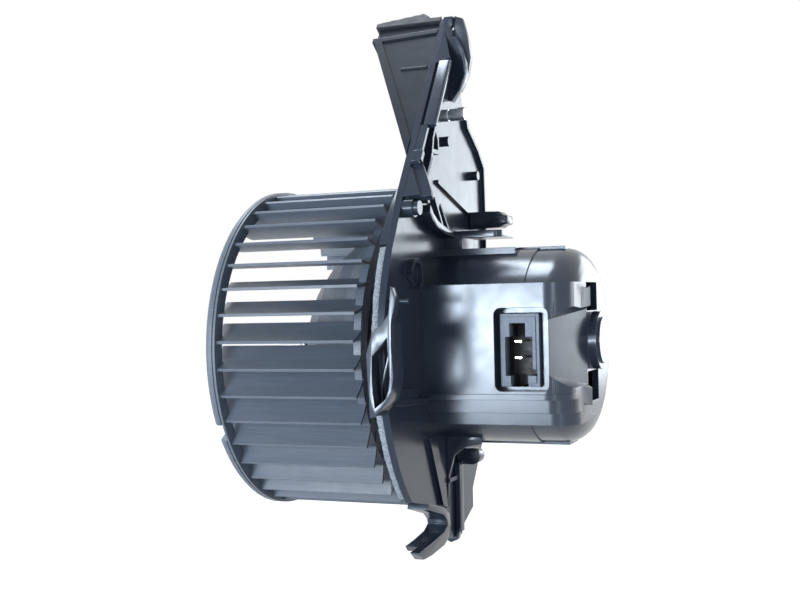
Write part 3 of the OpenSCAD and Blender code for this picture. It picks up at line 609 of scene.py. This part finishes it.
before_pad, pocket_floor, opening_end = -60.0, -38.0, -20.0
pocket = round_corners(38.5, 56.0, -14.8, 14.6, radius=3)
pocket_mouth = [(x, before_pad, z) for x, z in pocket]
pocket_end = [(x, pocket_floor, z) for x, z in pocket]
worked(cover, "DIFFERENCE", prism("pocket_tool", pocket_mouth, pocket_end))
plug_low, plug_high = (36.7, before_pad, -16.3), (54.3, opening_end, 15.3)
worked(cover, "DIFFERENCE", block("plug_tool", plug_low, plug_high))

# %% [markdown]
# The ramp's outline gets wider towards the cover's rear end. Its cutter is also wider at its mouth
# than at its floor, because a moulded recess needs that draft to leave its mould.

# %% Cut the ramp
ramp_start, ramp_end = Vector((59.0, -45.0)), Vector((68.0, -14.0))
ramp_way = (ramp_end - ramp_start).normalized()
ramp_out = Vector((ramp_way.y, -ramp_way.x))


def on_ramp(along, height, z):
    """A point given by how far it is along the ramp, how high over it, and its level."""
    place = ramp_start + ramp_way * along + ramp_out * height
    return (place.x, place.y, z)


def ramp_outline(height, wider, first, last):
    """The ramp's outline at a height over its floor, from first to last along it."""
    lower_at = {along: -10.9 - 0.185 * along for along in (first, last)}
    upper_at = {along: 12.4 + 0.118 * along for along in (first, last)}
    return (
        on_ramp(first, height, lower_at[first] - wider),
        on_ramp(last, height, lower_at[last] - wider),
        on_ramp(last, height, upper_at[last] + wider),
        on_ramp(first, height, upper_at[first] + wider),
    )


ramp_floor = ramp_outline(0.0, 0.0, first=-12, last=34)
ramp_mouth = ramp_outline(14.0, 9.0, first=-12, last=34)
worked(cover, "DIFFERENCE", prism("ramp_tool", ramp_floor, ramp_mouth))
finished(cover, "motor_cover", crease_degrees=28)
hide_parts("motor_cover", "cover_pad")
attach(cover, "housing")
print("cover with ramp has", len(cover.data.vertices), "points")

# %% [markdown]
# The small moulded pieces have well rounded edges on the real part, which the CAD leaves sharp. A
# bevel is enough for them: the mesh is welded, its flat triangles are merged into whole faces, and
# every edge that turns more than 35 degrees is rounded. A bevel on outer edges only takes away, so
# nothing grows.


# %% Small pieces with rounded edges
def rounded_copy(node_name, radius_mm):
    piece = welded_copy(node_name, node_name + "_rounded")
    bpy.context.scene.collection.objects.link(piece)
    flat = math.radians(1.5)
    edited(
        piece.data,
        lambda b: bmesh.ops.dissolve_limit(b, angle_limit=flat, verts=b.verts, edges=b.edges),
    )
    step = piece.modifiers.new("round", "BEVEL")
    step.width = radius_mm / 1000
    step.segments = 3
    step.limit_method = "ANGLE"
    step.angle_limit = math.radians(35)
    depsgraph = bpy.context.evaluated_depsgraph_get()
    rounded = bpy.data.meshes.new_from_object(piece.evaluated_get(depsgraph))
    piece.modifiers.clear()
    piece.data = rounded
    edited(rounded, lambda b: bmesh.ops.dissolve_degenerate(b, dist=1e-6, edges=b.edges))
    finished(piece, node_name, crease_degrees=40)
    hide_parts(node_name)
    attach(piece, "housing")
    return piece


edge_radii = {
    "lock_hook": 0.9,
    "claw": 0.6,
    "mounting_ear": 0.5,
    "shelf_arm": 0.6,
    "side_rail": 0.8,
    "duct_cover": 0.5,
}
for small_name, radius in edge_radii.items():
    small = rounded_copy(small_name, radius)
    print(small.name, "has", len(small.data.vertices), "points")

# %% [markdown]
# The seal on the scoop's mouth is a soft lip, rounded by use. The remesh of the foam gasket, with
# hardly any noise, rounds its corners without a bevel.

# %% Mouth seal
seal = ragged_copy(
    "mouth_seal", "mouth_seal_soft", voxel_mm=0.45, coarse_mm=0.05, fine_mm=0.04, inset_mm=0.1
)
print("mouth seal has", len(seal.data.vertices), "points")

# %% [markdown]
# Each brush is pushed by a coil spring. The CAD model holds plain rings, so a wound wire is swept
# here along a helix: rings of points stand around the wire, and faces join each ring to the next.


# %% Helpers for wound wire
def helix_rings(middle, radius, z_low, z_high, turns, wire_radius):
    """Rings of points around a wire that climbs from z_low to z_high."""
    steps_per_turn, wire_sides = 24, 8
    count = turns * steps_per_turn
    rings = []
    for i in range(count + 1):
        angle = 2 * math.pi * i / steps_per_turn
        centre = Vector(
            (
                middle.x + radius * math.cos(angle),
                middle.y + radius * math.sin(angle),
                z_low + (z_high - z_low) * (i / count),
            )
        )
        out = Vector((math.cos(angle), math.sin(angle), 0))
        up = Vector((0, 0, 1))
        ring = []
        for k in range(wire_sides):
            t = 2 * math.pi * k / wire_sides
            ring.append(centre + (out * math.cos(t) + up * math.sin(t)) * wire_radius)
        rings.append(ring)
    return rings


def tube(name, rings):
    """A closed mesh through rings of points, with a cap at each end."""
    mesh = bpy.data.meshes.new(name)
    build = bmesh.new()
    loops = [[build.verts.new(point) for point in ring] for ring in rings]
    sides = len(loops[0])
    for a, b in zip(loops, loops[1:]):
        for k in range(sides):
            build.faces.new((a[k], a[(k + 1) % sides], b[(k + 1) % sides], b[k]))
    build.faces.new(list(reversed(loops[0])))
    build.faces.new(loops[-1])
    bmesh.ops.recalc_face_normals(build, faces=build.faces)
    build.to_mesh(mesh)
    build.free()
    smooth_all(mesh)
    return mesh


# %% [markdown]
# A spring's size comes from the box of its CAD node, so that it fits its place.


# %% Brush springs
def wound_spring(name, node_name, turns, wire_mm):
    low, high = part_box(node_name)
    middle = (low + high) / 2
    wire_radius = wire_mm / 2000
    coil_radius = (high.x - low.x) / 2 - wire_radius
    ends = (low.z + wire_radius, high.z - wire_radius)
    mesh = tube(name, helix_rings(middle, coil_radius, *ends, turns, wire_radius))
    mesh.materials.append(finishes["steel"])
    piece = bpy.data.objects.new(name, mesh)
    bpy.context.scene.collection.objects.link(piece)
    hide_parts(node_name)
    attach(piece, "housing")
    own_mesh(piece)
    return piece


for side, joint in (("upper", "brush_up_slide"), ("lower", "brush_down_slide")):
    wound = wound_spring(
        f"spring_{side}_wound", f"spring_{side}", turns=5, wire_mm=0.6
    )
    print(wound.name, "has", len(wound.data.vertices), "points")

# %% [markdown]
# The photograph is a bright studio shot on pure white. A small bright box in front gives the broad
# shine on the near pad, a wide dim one behind it fills in, and one overhead shines on the cover's
# shoulder. Two paler ones stand behind, where the plate's and the cover's rear faces mirror them.
# One on the right lights the ramp, and a last one opens the shadows on the right.


# %% Soft boxes
lamp_tint = (0.85, 0.93, 1.0)


def soft_box(name, place, aim, wide, tall, glow):
    """An area light whose face has the radiance glow, placed and aimed in metres."""
    data = bpy.data.lights.new(name, "AREA")
    data.shape = "RECTANGLE"
    data.size, data.size_y = wide, tall
    data.energy = glow * math.pi * wide * tall
    data.color = lamp_tint
    light = bpy.data.objects.new(name, data)
    bpy.context.scene.collection.objects.link(light)
    light.location = place
    way = Vector(aim) - Vector(place)
    light.rotation_euler = way.to_track_quat("-Z", "Y").to_euler()
    return light


middle_of_part = (0.01, -0.02, 0.02)
near_pad = (0.03, -0.04, 0.01)
boxes = (
    soft_box("front_box", (-0.295, -1.0, -0.035), near_pad, 0.30, 0.18, 37.0),
    soft_box("wide_box", (-0.42, -1.15, 0.10), (0.0, -0.04, 0.01), 0.7, 0.6, 3.6),
    soft_box("top_box", (-0.30, 0.25, 0.95), middle_of_part, 0.34, 0.5, 16.0),
    soft_box("rear_box", (0.42, 1.02, 0.30), (0.0, 0.0, 0.09), 0.5, 0.42, 4.6),
    soft_box("end_box", (0.28, 1.02, 0.02), (0.07, 0.0, 0.0), 0.3, 0.24, 3.0),
    soft_box("right_box", (0.78, 0.76, 0.02), (0.064, -0.028, 0.0), 0.5, 0.4, 2.2),
    soft_box("side_box", (0.62, -0.92, 0.05), middle_of_part, 0.25, 0.5, 4.0),
)
print(len(boxes), "soft boxes")

# %% [markdown]
# The white background costs no light on the object. A ray that comes from the camera, off a shiny
# surface or through a clear one meets plain white, so metal shows the white room. All other rays
# meet a dim, cool fill. The same test of a ray is used again for the floor.


# %% White world
def seen_directly(nodes, links):
    """A socket that is 1 for rays from the camera, off gloss and through clear things."""
    rays = nodes.new("ShaderNodeLightPath")
    found = rays.outputs["Is Camera Ray"]
    for kind in ("Is Glossy Ray", "Is Transmission Ray"):
        either = nodes.new("ShaderNodeMath")
        either.operation = "MAXIMUM"
        links.new(found, either.inputs[0])
        links.new(rays.outputs[kind], either.inputs[1])
        found = either.outputs[0]
    return found


world = bpy.data.worlds.new("studio")
bpy.context.scene.world = world
world.use_nodes = True
tree = world.node_tree
tree.nodes.clear()
fill = tree.nodes.new("ShaderNodeBackground")
fill.inputs["Color"].default_value = (0.86, 0.93, 1.0, 1)
fill.inputs["Strength"].default_value = 0.27
white = tree.nodes.new("ShaderNodeBackground")
white.inputs["Color"].default_value = (1, 1, 1, 1)
white.inputs["Strength"].default_value = 1.0
chosen = tree.nodes.new("ShaderNodeMixShader")
tree.links.new(seen_directly(tree.nodes, tree.links), chosen.inputs[0])
tree.links.new(fill.outputs[0], chosen.inputs[1])
tree.links.new(white.outputs[0], chosen.inputs[2])
sky = tree.nodes.new("ShaderNodeOutputWorld")
tree.links.new(chosen.outputs[0], sky.inputs["Surface"])
print("white world with a fill of", fill.inputs["Strength"].default_value)

# %% [markdown]
# The floor is a pale sheet just under the lowest hook. To the camera it is nearly all plain white
# glow, with a small lit share on top that carries the part's soft shadow. To other rays it is a
# plain pale surface.


# %% Floor
def pale_finish():
    material = bpy.data.materials.new("pale_floor")
    material.use_nodes = True
    nodes, links = material.node_tree.nodes, material.node_tree.links
    nodes.clear()
    lit = nodes.new("ShaderNodeBsdfDiffuse")
    lit.inputs["Color"].default_value = (0.82, 0.84, 0.86, 1)
    thin = nodes.new("ShaderNodeBsdfDiffuse")
    thin.inputs["Color"].default_value = (0.25, 0.25, 0.25, 1)
    glow = nodes.new("ShaderNodeEmission")
    glow.inputs["Strength"].default_value = 0.95
    both = nodes.new("ShaderNodeAddShader")
    links.new(thin.outputs[0], both.inputs[0])
    links.new(glow.outputs[0], both.inputs[1])
    choose = nodes.new("ShaderNodeMixShader")
    links.new(seen_directly(nodes, links), choose.inputs[0])
    links.new(lit.outputs[0], choose.inputs[1])
    links.new(both.outputs[0], choose.inputs[2])
    end = nodes.new("ShaderNodeOutputMaterial")
    links.new(choose.outputs[0], end.inputs["Surface"])
    return material


def pale_floor(height, half):
    mesh = bpy.data.meshes.new("floor")
    corners = ((-half, -half), (half, -half), (half, half), (-half, half))
    mesh.from_pydata([(x, y, height) for x, y in corners], [], [(0, 1, 2, 3)])
    floor = bpy.data.objects.new("floor", mesh)
    bpy.context.scene.collection.objects.link(floor)
    mesh.materials.append(pale_finish())
    return floor


gap_below_part = 0.0004
floor_height = cad_box[0].z - gap_below_part
pale_floor(floor_height, half=3.0)
print("floor at z", round(floor_height * 1000, 2), "mm")

# %% Plain colour view
bpy.context.scene.view_settings.view_transform = "Standard"
